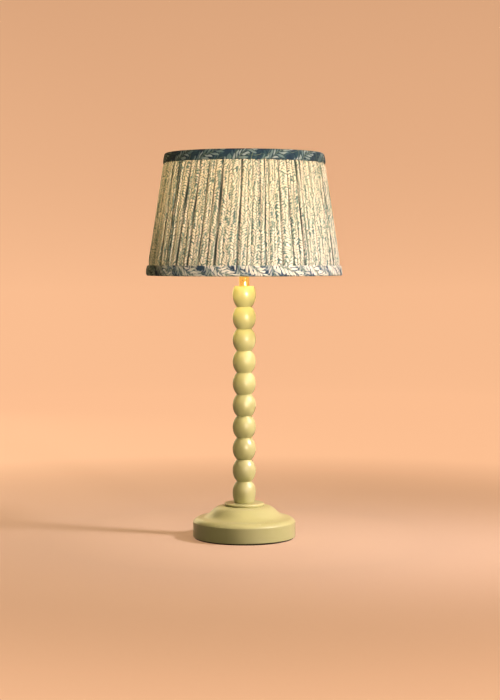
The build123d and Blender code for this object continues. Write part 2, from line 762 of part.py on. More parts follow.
save("shade_cover", make_shade_cover())
save("shade_lining", make_shade_lining())
save("top_binding", make_top_binding())
save("bottom_binding", make_bottom_binding())
save("top_wire", make_ring_wire(top_wire_z))
save("bottom_wire", make_ring_wire(bottom_wire_z))
save("fitter_ring", make_fitter_ring())
for number in range(ARMS):
    save(f"fitter_arm_{number + 1}", make_fitter_arm(number))
for number in range(STRUTS):
    save(f"strut_{number + 1}", make_strut(number))

save("bulb_glass", make_bulb_glass())
save("bulb_stem", make_bulb_stem())
save("led_filaments", make_led_filaments())
save("bulb_cap", make_bulb_cap())
save("cap_insulator", make_cap_insulator())
save("bulb_tip", make_bulb_tip())
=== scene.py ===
import json
import math

import bpy
import numpy as np
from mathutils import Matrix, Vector

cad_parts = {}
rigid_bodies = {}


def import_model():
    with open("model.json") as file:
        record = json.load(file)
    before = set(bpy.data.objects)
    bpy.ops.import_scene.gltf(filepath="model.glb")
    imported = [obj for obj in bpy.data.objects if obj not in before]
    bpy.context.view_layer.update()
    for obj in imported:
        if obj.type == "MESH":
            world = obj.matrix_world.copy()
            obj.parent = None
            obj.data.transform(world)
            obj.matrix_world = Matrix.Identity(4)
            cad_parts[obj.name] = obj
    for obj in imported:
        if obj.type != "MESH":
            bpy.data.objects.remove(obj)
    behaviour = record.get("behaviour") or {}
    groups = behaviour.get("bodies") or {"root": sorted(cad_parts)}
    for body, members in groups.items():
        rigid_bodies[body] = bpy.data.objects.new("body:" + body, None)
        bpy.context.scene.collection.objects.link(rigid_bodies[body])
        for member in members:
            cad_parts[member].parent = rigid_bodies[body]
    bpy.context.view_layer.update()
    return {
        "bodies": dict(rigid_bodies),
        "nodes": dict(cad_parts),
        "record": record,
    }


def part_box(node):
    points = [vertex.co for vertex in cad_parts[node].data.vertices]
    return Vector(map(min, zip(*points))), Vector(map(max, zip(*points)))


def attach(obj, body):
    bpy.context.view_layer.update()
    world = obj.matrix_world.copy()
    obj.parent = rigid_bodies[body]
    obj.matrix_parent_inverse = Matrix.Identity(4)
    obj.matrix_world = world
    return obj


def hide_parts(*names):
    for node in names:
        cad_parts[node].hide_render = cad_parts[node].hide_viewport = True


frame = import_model()

# Looks of the table lamp, in metres, in the row frame: +Z up, the front faces -Y.

# ---- Places read from the frame --------------------------------------------------------------

cover_low, cover_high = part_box("shade_cover")
bottom_low, bottom_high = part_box("bottom_binding")
top_low, top_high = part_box("top_binding")
glass_low, glass_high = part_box("bulb_glass")
lining_low, lining_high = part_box("shade_lining")
wire_low, wire_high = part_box("bottom_wire")

SHADE_LOW = bottom_low.z
SHADE_HIGH = top_high.z
TAPE = cover_low.z - SHADE_LOW
SLOPE = (cover_high.x + TAPE - top_high.x) / (top_low.z - cover_low.z)
BAND = bottom_high.z - bottom_low.z
BULB_RADIUS = (glass_high.x - glass_low.x) / 2
BULB_CENTRE = Vector((0, 0, glass_high.z - BULB_RADIUS))


def cone(z, depth):
    """Radius of the shade's cone at this height, this far in from its outside."""
    return cover_high.x + TAPE - SLOPE * (z - cover_low.z) - depth


LINING_DEPTH = cone(lining_low.z, 0) - lining_high.x
WIRE_DEPTH = cone((wire_low.z + wire_high.z) / 2, 0) - wire_high.x

# ---- Camera ----------------------------------------------------------------------------------

CAMERA_PLACE = (0.0074, -2.119, 0.3556)
CAMERA_TILT_DEG = 3.11
CAMERA_LENS = 85.5


def make_camera():
    data = bpy.data.cameras.new("camera")
    data.lens = CAMERA_LENS
    camera = bpy.data.objects.new("camera", data)
    camera.location = CAMERA_PLACE
    camera.rotation_euler = (math.radians(90 - CAMERA_TILT_DEG), 0, 0)
    bpy.context.scene.collection.objects.link(camera)
    bpy.context.scene.camera = camera


# ---- Mesh helpers ----------------------------------------------------------------------------


def linked(name, mesh):
    piece = bpy.data.objects.new(name, mesh)
    bpy.context.scene.collection.objects.link(piece)
    return piece


def grid_mesh(name, points, wrap_columns, uv=None, values=None):
    """Mesh from points, rows by columns by 3. uv is rows by columns by 2, one more column if wrapped."""
    rows, columns = points.shape[:2]
    across = columns if wrap_columns else columns - 1
    r, c = np.meshgrid(np.arange(rows - 1), np.arange(across), indexing="ij")
    right = (c + 1) % columns
    start, end = r * columns, (r + 1) * columns
    faces = np.stack([start + c, start + right, end + right, end + c], -1)
    mesh = bpy.data.meshes.new(name)
    mesh.from_pydata(points.reshape(-1, 3).tolist(), [], faces.reshape(-1, 4).tolist())
    if uv is not None:
        layer = mesh.uv_layers.new(name="cloth")
        corners = np.stack([uv[r, c], uv[r, c + 1], uv[r + 1, c + 1], uv[r + 1, c]], -2)
        layer.data.foreach_set("uv", corners.reshape(-1).astype(np.float32))
    for key, array in (values or {}).items():
        attribute = mesh.attributes.new(key, "FLOAT", "POINT")
        attribute.data.foreach_set("value", array.reshape(-1).astype(np.float32))
    mesh.polygons.foreach_set("use_smooth", [True] * len(mesh.polygons))
    mesh.update()
    return linked(name, mesh)


def smooth_step(x, low, high):
    t = np.clip((x - low) / (high - low), 0, 1)
    return t * t * (3 - 2 * t)


def ripple(rng, angles, waves, low, high):
    """Smooth closed noise round a circle, about -1 to 1, from waves between two counts a turn."""
    total = np.zeros_like(angles)
    for _ in range(waves):
        total += np.sin(rng.integers(low, high) * angles + rng.uniform(0, 2 * math.pi))
    return total / math.sqrt(waves / 2)


# ---- Gathered cover --------------------------------------------------------------------------

COVER_SEED = 7
GATHERS = 126
POINTS_PER_GATHER = 16
COVER_ROWS = 48
COVER_TUCK = 0.002
VALLEY_DEPTH = WIRE_DEPTH - 0.0001
CROWN_HEIGHT = 0.0023
CROWN_LIMIT = VALLEY_DEPTH - 0.0005
CROWN_UNDER_TAPE = 0.0007
SIDE_SHADE = 0.12
CLOSED_OVERHANG = 0.2
OPEN_OVERHANG = -0.03


def gather_widths(rng, count, spread):
    """Uneven shares of a full turn."""
    widths = np.exp(rng.normal(0, spread, count))
    widths = np.clip(widths, 0.4, 2.6)
    return widths / widths.sum() * 2 * math.pi


def make_cover():
    """Cotton gathered by hand between the two rings: uneven crowns that overhang narrow valleys."""
    rng = np.random.default_rng(COVER_SEED)
    widths = gather_widths(rng, GATHERS, 0.5)
    drift = gather_widths(rng, GATHERS, 0.16)
    lean = rng.normal(0.1, 0.13, GATHERS)
    tall = np.clip(rng.normal(0.95, 0.22, GATHERS), 0.45, 1.35) * np.clip(widths / widths.mean(), 0.6, 1.2)
    flat = np.clip(0.75 - 0.22 * widths / widths.mean(), 0.3, 0.7)
    base = rng.normal(0, 0.00025, GATHERS)
    pinch = rng.beta(0.6, 0.7, GATHERS)
    overhang = CLOSED_OVERHANG + (OPEN_OVERHANG - CLOSED_OVERHANG) * pinch
    valley_shade_width = 0.12 + 0.16 * pinch * rng.uniform(0.6, 1.3, GATHERS)
    phase = rng.uniform(0, 2 * math.pi, (4, GATHERS))
    low, high = cover_low.z + COVER_TUCK, cover_high.z - COVER_TUCK
    heights = np.linspace(low, high, COVER_ROWS)
    share = (heights - low) / (high - low)
    t = np.arange(POINTS_PER_GATHER) / POINTS_PER_GATHER
    wave = (1 - np.cos(2 * math.pi * t)) / 2
    second = (t >= 0.5)[None, :]
    from_valley = np.minimum(t, 1 - t)[None, :]
    points = np.zeros((COVER_ROWS, GATHERS * POINTS_PER_GATHER, 3))
    fold_shade = np.zeros(points.shape[:2])
    for row, (z, v) in enumerate(zip(heights, share)):
        mixed = widths * (1 + (v - 0.5) * 1.1 * (drift / drift.mean() - 1))
        mixed *= 2 * math.pi / mixed.sum()
        starts = np.concatenate([[0], np.cumsum(mixed)[:-1]])
        sway = 0.07 * mixed.mean() * np.sin(2.3 * math.pi * v + phase[0]) * math.sin(math.pi * v)
        swell = 1 + 0.16 * np.sin(3.1 * math.pi * v + phase[1]) + 0.1 * np.sin(7 * math.pi * v + phase[2])
        from_edge = min(z - SHADE_LOW, SHADE_HIGH - z)
        free = smooth_step(from_edge, BAND - 0.001, BAND + 0.007)
        height = CROWN_UNDER_TAPE + (CROWN_HEIGHT * tall * swell - CROWN_UNDER_TAPE) * free
        hold = overhang + 0.05 * np.sin(3.3 * math.pi * v + phase[3]) * free
        over = np.where(second, np.roll(hold, -1)[:, None], hold[:, None])
        along = t[None, :] - over * np.sin(2 * math.pi * t)[None, :] + lean[:, None] * wave[None, :] * free
        angle = (starts + sway)[:, None] + mixed[:, None] * along
        next_base, next_sway = np.roll(base, -1), np.roll(sway, -1)
        angle += (next_sway - sway)[:, None] * t[None, :]
        height = np.minimum(height, CROWN_LIMIT)
        rise = height[:, None] * wave[None, :] ** flat[:, None]
        rise += (base[:, None] * (1 - t) + next_base[:, None] * t) * free
        radius = cone(z, VALLEY_DEPTH) + rise
        angle, radius = angle.ravel(), radius.ravel()
        level = np.full_like(angle, z)
        points[row] = np.stack([radius * np.cos(angle), radius * np.sin(angle), level], -1)
        # Painted shade for the print: dark in the fold valleys, strongest at the pinched folds, with a
        # weaker band on the crowns' sides
        valley_shade_strength = (0.1 + 0.9 * pinch) * (0.8 + 0.2 * np.sin(4.2 * math.pi * v + phase[3]))
        depth = np.where(second, np.roll(valley_shade_strength, -1)[:, None], valley_shade_strength[:, None])
        reach = np.where(second, np.roll(valley_shade_width, -1)[:, None], valley_shade_width[:, None])
        deep = depth * (1 - smooth_step(from_valley / reach, 0.35, 1.1))
        fold_shade[row] = np.maximum(deep, SIDE_SHADE * (1 - smooth_step(from_valley, 0.0, 0.3))).ravel()
    middle = points[COVER_ROWS // 2]
    steps = np.linalg.norm(np.roll(middle, -1, axis=0) - middle, axis=1)
    along_cloth = np.concatenate([[0], np.cumsum(steps)])
    slant = (heights - heights[0]) * math.hypot(1, SLOPE)
    uv = np.stack(np.broadcast_arrays(along_cloth[None, :], slant[:, None]), -1)
    piece = grid_mesh("gathered_cover", points, True, uv, {"fold_shade": fold_shade})
    return piece, (along_cloth[-1], slant[-1])


# ---- Bindings and lining ---------------------------------------------------------------------

BOTTOM_TAPE_SEED = 11
TOP_TAPE_SEED = 12
TAPE_COLUMNS = 540
EDGE_ROUND = 0.0026
TAPE_BULGE = 0.0004
TAPE_BULGE_STEPS = 7
TAPE_INSIDE = 0.009
TAPE_JOIN_ANGLE = math.radians(97)
TAPE_JOIN_WIDTH = math.radians(7)


def tape_outline():
    """Section of a binding, from the cover over the edge to the lining.

    Its points are (depth, height above the shade's edge).
    """
    inner_depth = LINING_DEPTH + 0.0006 + TAPE
    steps = TAPE_BULGE_STEPS
    outline = [(TAPE + 0.0012, BAND - 0.0012), (TAPE * 0.5, BAND), (0.0002, BAND - 0.0004)]
    outline += [
        (-TAPE_BULGE * math.sin(math.pi * k / steps), BAND * (1 - k / steps) + EDGE_ROUND * k / steps)
        for k in range(1, steps)
    ]
    corner = [math.radians(a) for a in range(0, 91, 15)]
    outline += [(EDGE_ROUND * (1 - math.cos(a)), EDGE_ROUND * (1 - math.sin(a))) for a in corner]
    outline += [
        (inner_depth - EDGE_ROUND * (1 - math.sin(a)), EDGE_ROUND * (1 - math.cos(a))) for a in corner
    ]
    outline += [(inner_depth, TAPE_INSIDE * share) for share in (0.5, 0.75, 0.95)]
    outline += [(inner_depth - 0.0004, TAPE_INSIDE), (LINING_DEPTH - 0.0004, TAPE_INSIDE - 0.0008)]
    return np.array(outline)


def make_tape(name, edge, into, seed):
    """Folded strip of the cover's cotton over one edge.

    The gathers under it pucker it, and its join is at the back.
    """
    rng = np.random.default_rng(seed)
    outline = tape_outline()
    angles = np.linspace(0, 2 * math.pi, TAPE_COLUMNS, endpoint=False)
    fine = ripple(rng, angles, 9, 60, 130)
    slow = ripple(rng, angles, 5, 6, 22)
    edge_wave = ripple(rng, angles, 6, 10, 60)
    turn = (angles - TAPE_JOIN_ANGLE) % (2 * math.pi)
    join = smooth_step(turn, 0, 0.004) * (1 - smooth_step(turn, TAPE_JOIN_WIDTH, TAPE_JOIN_WIDTH + 0.05))
    along = np.concatenate([[0], np.cumsum(np.linalg.norm(np.diff(outline, axis=0), axis=1))])
    points = np.zeros((len(outline), TAPE_COLUMNS, 3))
    for row, (depth, height) in enumerate(outline):
        outside = 1 - smooth_step(depth, 0.002, 0.005)
        loose = outside * smooth_step(height, 0.001, 0.004)
        lift = loose * (0.00013 * fine + 0.0002 * slow) + 0.0005 * join * outside
        z = edge + into * (height + loose * 0.0002 * edge_wave)
        radius = cone(z, depth) + lift
        points[row] = np.stack([radius * np.cos(angles), radius * np.sin(angles), z], -1)
    if into > 0:
        points = points[::-1]
        along = along[::-1]
    around = np.linspace(0, 2 * math.pi * cone(edge, 0), TAPE_COLUMNS + 1)
    uv = np.stack(np.broadcast_arrays(around[None, :], along[:, None]), -1)
    return grid_mesh(name, points, True, uv), (around[-1], along.max())


LINING_SEED = 23
LINING_COLUMNS = 480
LINING_ROWS = 26


def make_lining():
    """Plain cotton inside the frame, with shallow gathers where it is turned over the rings."""
    rng = np.random.default_rng(LINING_SEED)
    angles = np.linspace(0, 2 * math.pi, LINING_COLUMNS, endpoint=False)
    heights = np.linspace(lining_low.z + 0.001, lining_high.z - 0.001, LINING_ROWS)
    pull = ripple(rng, angles, 12, 24, 110)
    rows = []
    for z in heights:
        from_edge = min(z - lining_low.z, lining_high.z - z)
        near_edge = 1 - smooth_step(from_edge, 0.012, 0.05)
        radius = cone(z, LINING_DEPTH + 0.0003) - 0.0003 - (0.0003 + 0.0006 * near_edge) * (pull + 1) / 2
        level = np.full_like(angles, z)
        rows.append(np.stack([radius * np.cos(angles), radius * np.sin(angles), level], -1))
    around = np.linspace(0, 2 * math.pi * cone(heights.mean(), LINING_DEPTH), LINING_COLUMNS + 1)
    slant = (heights - heights[0]) * math.hypot(1, SLOPE)
    uv = np.stack(np.broadcast_arrays(around[None, :], slant[:, None]), -1)
    return grid_mesh("lining", np.array(rows), True, uv), (around[-1], slant[-1])


# ---- Shader helpers --------------------------------------------------------------------------


class Shader:
    """A material, with short calls that add nodes to it.

    An input is a plain value or another node's socket.
    """

    def __init__(self, name):
        self.material = bpy.data.materials.new(name)
        self.material.use_nodes = True
        self.tree = self.material.node_tree
        self.surface = self.tree.nodes["Principled BSDF"]

    def feed(self, node, inputs):
        for key, value in inputs.items():
            if isinstance(value, bpy.types.NodeSocket):
                self.tree.links.new(value, node.inputs[key])
            else:
                node.inputs[key].default_value = value

    def add(self, kind, inputs, **settings):
        node = self.tree.nodes.new("ShaderNode" + kind)
        for key, value in settings.items():
            setattr(node, key, value)
        self.feed(node, inputs)
        return node

    def set(self, **inputs):
        self.feed(self.surface, {key.replace("_", " "): value for key, value in inputs.items()})

    def math(self, operation, *values):
        return self.add("Math", dict(enumerate(values)), operation=operation).outputs[0]

    def span(self, value, low, high, start, end):
        """value from low..high to start..end, clamped."""
        keys = ("Value", "From Min", "From Max", "To Min", "To Max")
        return self.add("MapRange", dict(zip(keys, (value, low, high, start, end)))).outputs[0]

    def mix(self, share, first, second):
        return self.add("Mix", {0: share, 6: first, 7: second}, data_type="RGBA").outputs[2]

    def object_place(self):
        return self.add("TexCoord", {}).outputs["Object"]

    def cloth_place(self):
        return self.add("UVMap", {}, uv_map="cloth").outputs[0]

    def stretched(self, place, scale):
        return self.add("Mapping", {"Vector": place, "Scale": scale}).outputs[0]

    def turned(self, place, degrees):
        inputs = {"Vector": place, "Angle": math.radians(degrees)}
        return self.add("VectorRotate", inputs, rotation_type="Z_AXIS").outputs[0]

    def noise(self, place, scale, detail=3.0, rough=0.55):
        inputs = {"Vector": place, "Scale": scale, "Detail": detail, "Roughness": rough}
        return self.add("TexNoise", inputs).outputs[0]

    def bump(self, height, distance, strength=1.0, under=None):
        inputs = {"Height": height, "Distance": distance, "Strength": strength}
        if under is not None:
            inputs["Normal"] = under
        return self.add("Bump", inputs).outputs[0]


# ---- Materials of the turned, moulded and metal pieces ---------------------------------------

PAINT = (0.52, 0.52, 0.27, 1)
PAINT_DEEP = (0.45, 0.46, 0.20, 1)
PAINT_WORN = (0.60, 0.60, 0.37, 1)


def painted_wood():
    """Satin paint over turned wood: faint lathe rings, a trace of grain, brushing and rubbed high places."""
    s = Shader("painted_wood")
    place = s.object_place()
    cloud = s.noise(place, 16.0, 4.0)
    fine = s.noise(place, 420.0, 3.0)
    grain = s.noise(s.stretched(place, (240.0, 240.0, 14.0)), 1.0, 4.0, 0.6)
    rings = s.noise(s.stretched(place, (6.0, 6.0, 1300.0)), 1.0, 2.0)
    edge = s.add("NewGeometry", {}).outputs["Pointiness"]
    rubbed = s.math("MULTIPLY", s.span(edge, 0.52, 0.6, 0.0, 1.0), s.span(cloud, 0.4, 0.7, 0.2, 0.8))
    colour = s.mix(s.span(cloud, 0.35, 0.7, 0.0, 0.55), PAINT, PAINT_DEEP)
    colour = s.mix(s.span(grain, 0.52, 0.75, 0.0, 0.16), colour, PAINT_DEEP)
    colour = s.mix(rubbed, colour, PAINT_WORN)
    rough = s.math("ADD", s.span(fine, 0.3, 0.7, 0.27, 0.38), s.span(cloud, 0.3, 0.7, 0.0, 0.07))
    relief = s.bump(rings, 0.00009, 0.5)
    relief = s.bump(grain, 0.00007, 0.5, relief)
    relief = s.bump(fine, 0.00005, 0.35, relief)
    s.set(Base_Color=colour, Roughness=rough, Normal=relief)
    s.set(Specular_IOR_Level=0.6, Coat_Weight=0.35, Coat_Roughness=0.25)
    return s.material


def metal(name, colour, dark, rough, fine_scale=160.0, brushed=(1.0, 1.0, 1.0)):
    """Metal with smudges, fine scratches along one direction and a duller tone here and there."""
    s = Shader(name)
    place = s.object_place()
    smudge = s.noise(place, 38.0, 4.0)
    scratch = s.noise(s.stretched(place, brushed), fine_scale, 4.0, 0.65)
    tone = s.mix(s.span(smudge, 0.45, 0.8, 0.0, 0.6), colour, dark)
    worn = s.span(smudge, 0.3, 0.75, rough, rough * 1.7)
    level = s.math("ADD", worn, s.span(scratch, 0.4, 0.8, 0.0, 0.06))
    s.set(Base_Color=tone, Metallic=1.0, Roughness=level, Normal=s.bump(scratch, 0.00003, 0.3))
    return s.material


def moulded(name, colour, rough, coat=0.0, grain_scale=900.0, grain_depth=0.00004):
    """Plastic, rubber or enamel: a moulded grain, slight tone changes and uneven gloss."""
    s = Shader(name)
    place = s.object_place()
    cloud = s.noise(place, 60.0, 3.0)
    grain = s.noise(place, grain_scale, 3.0)
    lighter = tuple(min(1.0, c * 1.25 + 0.01) for c in colour[:3]) + (1,)
    s.set(Base_Color=s.mix(s.span(cloud, 0.35, 0.75, 0.0, 0.7), colour, lighter))
    s.set(Roughness=s.span(grain, 0.3, 0.7, rough * 0.85, rough * 1.15))
    s.set(Normal=s.bump(grain, grain_depth, 0.5))
    s.set(Coat_Weight=coat)
    return s.material


def cast_iron():
    s = Shader("cast_iron")
    place = s.object_place()
    grit = s.noise(place, 700.0, 4.0, 0.7)
    rust = s.noise(place, 45.0, 5.0, 0.6)
    colour = s.mix(s.span(rust, 0.55, 0.75, 0.0, 0.7), (0.045, 0.044, 0.043, 1), (0.16, 0.07, 0.03, 1))
    s.set(Base_Color=colour, Metallic=0.6, Roughness=s.span(grit, 0.3, 0.7, 0.5, 0.8))
    s.set(Normal=s.bump(grit, 0.0002, 0.7))
    return s.material


def felt():
    """Dark pressed felt: matted fibres in two scales."""
    s = Shader("felt")
    place = s.object_place()
    fibre = s.noise(s.stretched(place, (1.0, 1.0, 0.4)), 1500.0, 5.0, 0.75)
    mat = s.noise(place, 130.0, 4.0)
    fibres = s.span(fibre, 0.35, 0.75, 0.0, 1.0)
    colour = s.mix(fibres, (0.012, 0.012, 0.013, 1), (0.055, 0.05, 0.048, 1))
    colour = s.mix(s.span(mat, 0.4, 0.7, 0.0, 0.5), colour, (0.03, 0.028, 0.026, 1))
    s.set(Base_Color=colour, Roughness=0.95, Sheen_Weight=0.4, Normal=s.bump(fibre, 0.0003, 0.8))
    return s.material


# ---- Materials of the cloth ------------------------------------------------------------------

WARM = (0.92, 0.88, 0.64, 1)
WEAVE_PITCH = 0.0007
LINING_WEAVE_PITCH = 0.0006
COTTON_THROUGH = 0.12
LINING_THROUGH = 0.55
# Rows of fronds, from the back one to the front one. Metres and degrees: turn of the rows, their
# spacing, leaf pitch, leaf length, half width, angle of a leaf to its stem, and a shift.
BINDING_FRONDS = (
    (33.0, 0.0150, 0.0046, 0.0115, 0.00100, 41.0, 0.13),
    (-26.0, 0.0180, 0.0052, 0.0135, 0.00115, 36.0, 0.47),
    (5.0, 0.0235, 0.0060, 0.0155, 0.00130, 34.0, 0.81),
)
LEAF_DRIFT = 0.009
COVER_FRONDS = (
    (-22.0, 0.0124, 0.0038, 0.0092, 0.00090, 44.0, 0.23),
    (3.0, 0.0108, 0.0036, 0.0086, 0.00092, 42.0, 0.61),
)


def frond_layer(s, place, turn, spacing, pitch, length, half_width, angle, shift):
    """Stems in rows with a slender leaf to each side in turn.

    Gives the masks of leaf, vein and stem, a random draw for each leaf, and the place along the leaf.
    """
    drift = s.add("TexNoise", {"Vector": place, "Scale": 75.0, "Detail": 1.5}).outputs["Color"]
    drift = s.add("VectorMath", {0: drift, 1: (0.5, 0.5, 0.5)}, operation="SUBTRACT").outputs[0]
    far = (LEAF_DRIFT, LEAF_DRIFT, 0.0)
    drift = s.add("VectorMath", {0: drift, 1: far}, operation="MULTIPLY").outputs[0]
    place = s.add("VectorMath", {0: place, 1: drift}, operation="ADD").outputs[0]
    turned = s.turned(place, turn)
    axis = s.add("SeparateXYZ", {"Vector": turned}).outputs
    sway = s.span(s.noise(turned, 14.0 + 9 * shift, 1.0), 0.2, 0.8, -0.16, 0.16)
    row_place = s.math("ADD", s.math("ADD", s.math("DIVIDE", axis[0], spacing), shift), sway)
    row = s.math("FLOOR", row_place)
    aside = s.math("MULTIPLY", s.math("SUBTRACT", s.math("SUBTRACT", row_place, row), 0.5), spacing)
    out = s.math("ABSOLUTE", aside)
    side = s.math("GREATER_THAN", aside, 0.0)
    up = s.math("ADD", s.math("DIVIDE", axis[1], pitch), s.math("MULTIPLY", row, 0.37))
    up = s.math("ADD", up, s.math("MULTIPLY", side, 0.5))
    slant = 1 / (pitch * math.tan(math.radians(angle)))
    leaf_place = s.math("SUBTRACT", up, s.math("MULTIPLY", out, slant))
    bend = s.math("MULTIPLY", s.math("MULTIPLY", out, out), 0.35 * slant / length)
    leaf_place = s.math("ADD", leaf_place, bend)
    leaf = s.math("FLOOR", leaf_place)
    across = s.math("SUBTRACT", s.math("SUBTRACT", leaf_place, leaf), 0.5)
    across = s.math("ABSOLUTE", s.math("MULTIPLY", across, pitch * math.sin(math.radians(angle))))
    which = s.add("CombineXYZ", {0: row, 1: leaf, 2: s.math("ADD", side, shift)}).outputs[0]
    draw = s.add("TexWhiteNoise", {"Vector": which}).outputs["Value"]
    reach = s.math("MULTIPLY", s.span(draw, 0.0, 1.0, 0.62, 1.15), length * math.sin(math.radians(angle)))
    along = s.math("DIVIDE", out, reach)
    belly = s.math("MULTIPLY", s.math("MULTIPLY", along, s.math("SUBTRACT", 1.0, along)), 4 * half_width)
    mask = s.span(s.math("SUBTRACT", belly, across), 0.0, 0.00022, 0.0, 1.0)
    vein = s.span(across, 0.00008, 0.0002, 0.55, 0.0)
    stem = s.span(out, 0.0003, 0.0005, 1.0, 0.0)
    return mask, vein, stem, draw, along


def leaf_print(s, place, layers, grounds, tones, stem_tone):
    """A small foliage print of the builder's own: rows of fronds over each other on a mottled ground."""
    ground, ground_light = grounds
    cloud = s.noise(place, 70.0, 3.0)
    colour = s.mix(s.span(cloud, 0.35, 0.7, 0.0, 1.0), ground, ground_light)
    for layer, (light, deep) in zip(layers, tones):
        mask, vein, stem, draw, along = frond_layer(s, place, *layer)
        leaf = s.mix(s.span(draw, 0.35, 0.95, 0.0, 1.0), light, deep)
        leaf = s.mix(s.span(along, 0.0, 0.5, 0.6, 0.0), leaf, deep)
        leaf = s.mix(vein, leaf, ground_light)
        colour = s.mix(mask, colour, leaf)
        colour = s.mix(stem, colour, stem_tone)
    return colour


def weave_height(s, place, pitch):
    """Height of a plain weave."""
    axis = s.add("SeparateXYZ", {"Vector": place}).outputs
    turns = 2 * math.pi / pitch
    warp = s.math("SINE", s.math("MULTIPLY", axis[0], turns))
    weft = s.math("SINE", s.math("MULTIPLY", axis[1], turns))
    return s.math("MULTIPLY", warp, weft)


def through(s, share, colour):
    """Makes the cloth let light through as well: this share of a translucent shader beside the surface."""
    glow = s.add("BsdfTranslucent", {"Color": colour})
    both = s.add("MixShader", {0: share, 1: s.surface.outputs[0], 2: glow.outputs[0]})
    output = s.tree.nodes["Material Output"]
    s.tree.links.new(both.outputs[0], output.inputs["Surface"])


# Colours of the print: ground and its lighter patches, stems, and the light and deep tone of each
# layer of leaves
COVER_GROUND = ((0.045, 0.130, 0.160, 1), (0.12, 0.23, 0.23, 1))
COVER_STEM = (0.24, 0.33, 0.28, 1)
# Painted shade in the fold valleys: its colour and how far the print goes towards it
FOLD_SHADE_TONE = (0.008, 0.030, 0.036, 1)
FOLD_SHADE_SHARE = 0.93
COVER_TONES = (
    ((0.50, 0.56, 0.48, 1), (0.26, 0.38, 0.36, 1)),
    ((0.97, 0.87, 0.79, 1), (0.80, 0.74, 0.62, 1)),
)
BINDING_GROUND = ((0.020, 0.055, 0.115, 1), (0.045, 0.105, 0.17, 1))
BINDING_STEM = (0.2, 0.28, 0.22, 1)
# Painted shade: the top strip's tones are darker because less light falls on it; both strips are one cloth
TOP_BINDING_SHADED_TONES = (
    ((0.045, 0.11, 0.16, 1), (0.02, 0.06, 0.10, 1)),
    ((0.09, 0.18, 0.22, 1), (0.035, 0.10, 0.13, 1)),
    ((0.55, 0.65, 0.65, 1), (0.20, 0.33, 0.34, 1)),
)
# Painted light: the bottom strip's tones are lighter because more light falls on it
BOTTOM_BINDING_LIT_TONES = (
    ((0.34, 0.41, 0.46, 1), (0.19, 0.27, 0.34, 1)),
    ((0.66, 0.67, 0.61, 1), (0.42, 0.49, 0.46, 1)),
    ((0.96, 0.91, 0.83, 1), (0.78, 0.77, 0.66, 1)),
)
BIAS_DEG = 52.0


def cover_print():
    """Printed cotton of the cover: painted shade in the valleys of the folds, fine upright crinkles and a
    plain weave.
    """
    s = Shader("cover_print")
    place = s.cloth_place()
    colour = leaf_print(s, place, COVER_FRONDS, COVER_GROUND, COVER_TONES, COVER_STEM)
    # Painted shade: the cover's mesh attribute darkens the print in the fold valleys, on the surface and in
    # the light let through
    fold_shade = s.add("Attribute", {}, attribute_name="fold_shade").outputs["Fac"]
    deep = s.mix(FOLD_SHADE_SHARE, colour, FOLD_SHADE_TONE)
    shaded = s.mix(fold_shade, colour, deep)
    crinkle = s.noise(s.stretched(place, (520.0, 26.0, 1.0)), 1.0, 3.0)
    relief = s.bump(crinkle, 0.0006, 0.6)
    relief = s.bump(weave_height(s, place, WEAVE_PITCH), 0.00006, 0.6, relief)
    s.set(Base_Color=shaded, Roughness=s.span(crinkle, 0.3, 0.7, 0.8, 0.9), Normal=relief)
    s.set(Sheen_Weight=0.15, Specular_IOR_Level=0.25)
    through(s, COTTON_THROUGH, s.mix(fold_shade, s.mix(0.3, colour, WARM), deep))
    return s.material


def binding_print(name, tones):
    """The same print on the bias in the strips round both edges: darker at the top as painted shade, lighter
    at the bottom as painted light.
    """
    s = Shader(name)
    place = s.cloth_place()
    bias = s.turned(place, BIAS_DEG)
    colour = leaf_print(s, bias, BINDING_FRONDS, BINDING_GROUND, tones, BINDING_STEM)
    pucker = s.noise(s.stretched(place, (300.0, 70.0, 1.0)), 1.0, 3.0)
    relief = s.bump(pucker, 0.0005, 0.5)
    relief = s.bump(weave_height(s, place, WEAVE_PITCH), 0.00006, 0.6, relief)
    s.set(Base_Color=colour, Roughness=s.span(pucker, 0.3, 0.7, 0.8, 0.9), Normal=relief)
    s.set(Sheen_Weight=0.15, Specular_IOR_Level=0.25)
    through(s, COTTON_THROUGH, s.mix(0.3, colour, WARM))
    return s.material


def lining_cloth():
    s = Shader("lining_cloth")
    place = s.cloth_place()
    slub = s.noise(s.stretched(place, (1.0, 18.0, 1.0)), 160.0, 4.0)
    slubs = s.span(slub, 0.4, 0.75, 0.0, 0.5)
    colour = s.mix(slubs, (0.72, 0.68, 0.60, 1), (0.64, 0.59, 0.50, 1))
    s.set(Base_Color=colour, Roughness=0.9, Sheen_Weight=0.1, Specular_IOR_Level=0.2)
    s.set(Normal=s.bump(weave_height(s, place, LINING_WEAVE_PITCH), 0.00005, 0.6))
    through(s, LINING_THROUGH, colour)
    return s.material


# ---- Materials of the bulb -------------------------------------------------------------------

GLOW = (1.0, 0.70, 0.42, 1)


def opal_glass():
    """Opal envelope of a lit bulb, a little less bright towards its neck."""
    s = Shader("opal_glass")
    place = s.object_place()
    height = s.add("SeparateXYZ", {"Vector": place}).outputs[2]
    strength = s.span(height, glass_low.z, BULB_CENTRE.z, 0.4, 1.6)
    cloud = s.noise(place, 90.0, 2.0)
    milk = s.span(cloud, 0.3, 0.7, 0.0, 1.0)
    s.set(Base_Color=s.mix(milk, (0.93, 0.91, 0.86, 1), (0.97, 0.95, 0.9, 1)))
    s.set(Roughness=s.span(cloud, 0.3, 0.7, 0.2, 0.3))
    s.set(Emission_Color=GLOW, Emission_Strength=strength)
    return s.material


